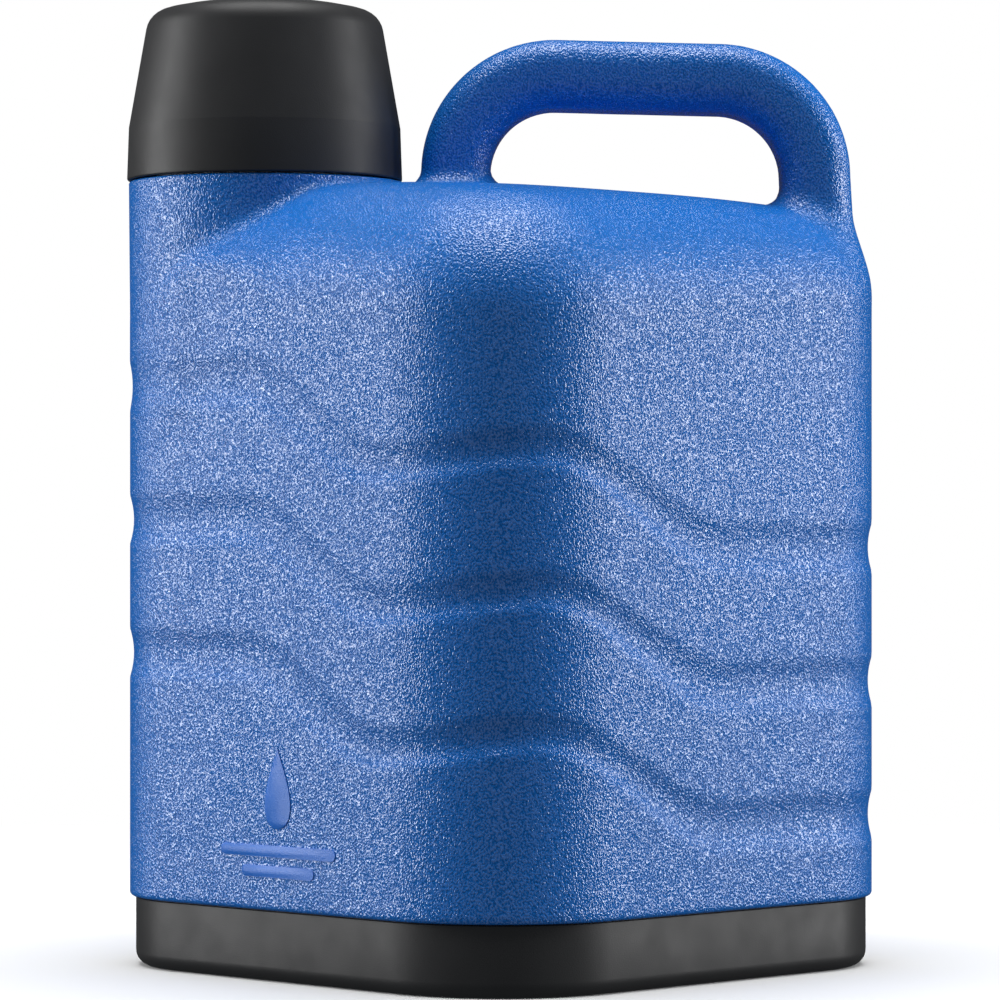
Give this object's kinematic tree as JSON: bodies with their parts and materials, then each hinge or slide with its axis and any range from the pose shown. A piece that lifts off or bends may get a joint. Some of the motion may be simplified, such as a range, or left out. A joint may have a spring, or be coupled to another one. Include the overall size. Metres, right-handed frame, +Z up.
{
  "type": "insulated water jug",
  "caption": "Large insulated jug with a rounded square body seen corner first, integral carry handle, off-centre mouth with a screw stopper and flip spout, and a cup that screws over it.",
  "frame": {"origin": "centre of the flat underside that the jug stands on", "axes": "+Z up, +X towards the handle's side away from the mouth, -Y towards the front ridge"},
  "size_m": [0.248, 0.2428, 0.3215],
  "materials": {
    "blue_casing": "stippled grain, satin",
    "black_plastic": "satin",
    "white_plastic": "satin",
    "grey_plastic": "satin",
    "rigid_foam": "cut foam",
    "silicone": "matt",
    "steel": "drawn wire"
  },
  "bodies": {
    "jug": {"outer_shell": "blue_casing", "insulation_foam": "rigid_foam", "inner_tank": "white_plastic", "neck_collar": "grey_plastic", "neck_collar_seal": "silicone", "base_tray": "black_plastic", "foam_fill_plug": "grey_plastic", "foam_vent_plug": "grey_plastic"},
    "stopper_lift": {"stopper_gasket": "silicone"},
    "stopper": {"stopper_body": "white_plastic", "stopper_bottom_cover": "white_plastic", "stopper_foam": "rigid_foam", "pour_spout": "white_plastic", "spout_hinge_pin": "steel", "air_vent_valve": "silicone"},
    "flip_cap": {"spout_cap": "grey_plastic", "spout_cap_seal": "silicone"},
    "cup_lift": {"cup_gasket": "silicone"},
    "cup": {"cup_shell": "black_plastic"}
  },
  "joints": [
    {"name": "stopper_rise", "type": "slide", "parent": "jug", "child": "stopper_lift", "axis": [0, 0, 1], "range_m": [0, 0.0481]},
    {"name": "stopper_turn", "type": "hinge", "parent": "stopper_lift", "child": "stopper", "pos_m": [-0.0787, 0, 0.2646], "axis": [0, 0, 1], "range_deg": [0, 1080]},
    {"name": "flip_cap_hinge", "type": "hinge", "parent": "stopper", "child": "flip_cap", "pos_m": [-0.0742, 0, 0.286], "axis": [0, 1, 0], "range_deg": [0, 120]},
    {"name": "cup_rise", "type": "slide", "parent": "stopper", "child": "cup_lift", "axis": [0, 0, 1], "range_m": [0, 0.0601]},
    {"name": "cup_turn", "type": "hinge", "parent": "cup_lift", "child": "cup", "pos_m": [-0.0787, 0, 0.2605], "axis": [0, 0, 1], "range_deg": [0, 900]}
  ],
  "couplings": [
    {"joint": "stopper_rise", "follows": "stopper_turn", "m_per_rad": 0.0025465},
    {"joint": "cup_rise", "follows": "cup_turn", "m_per_rad": 0.0038197}
  ]
}
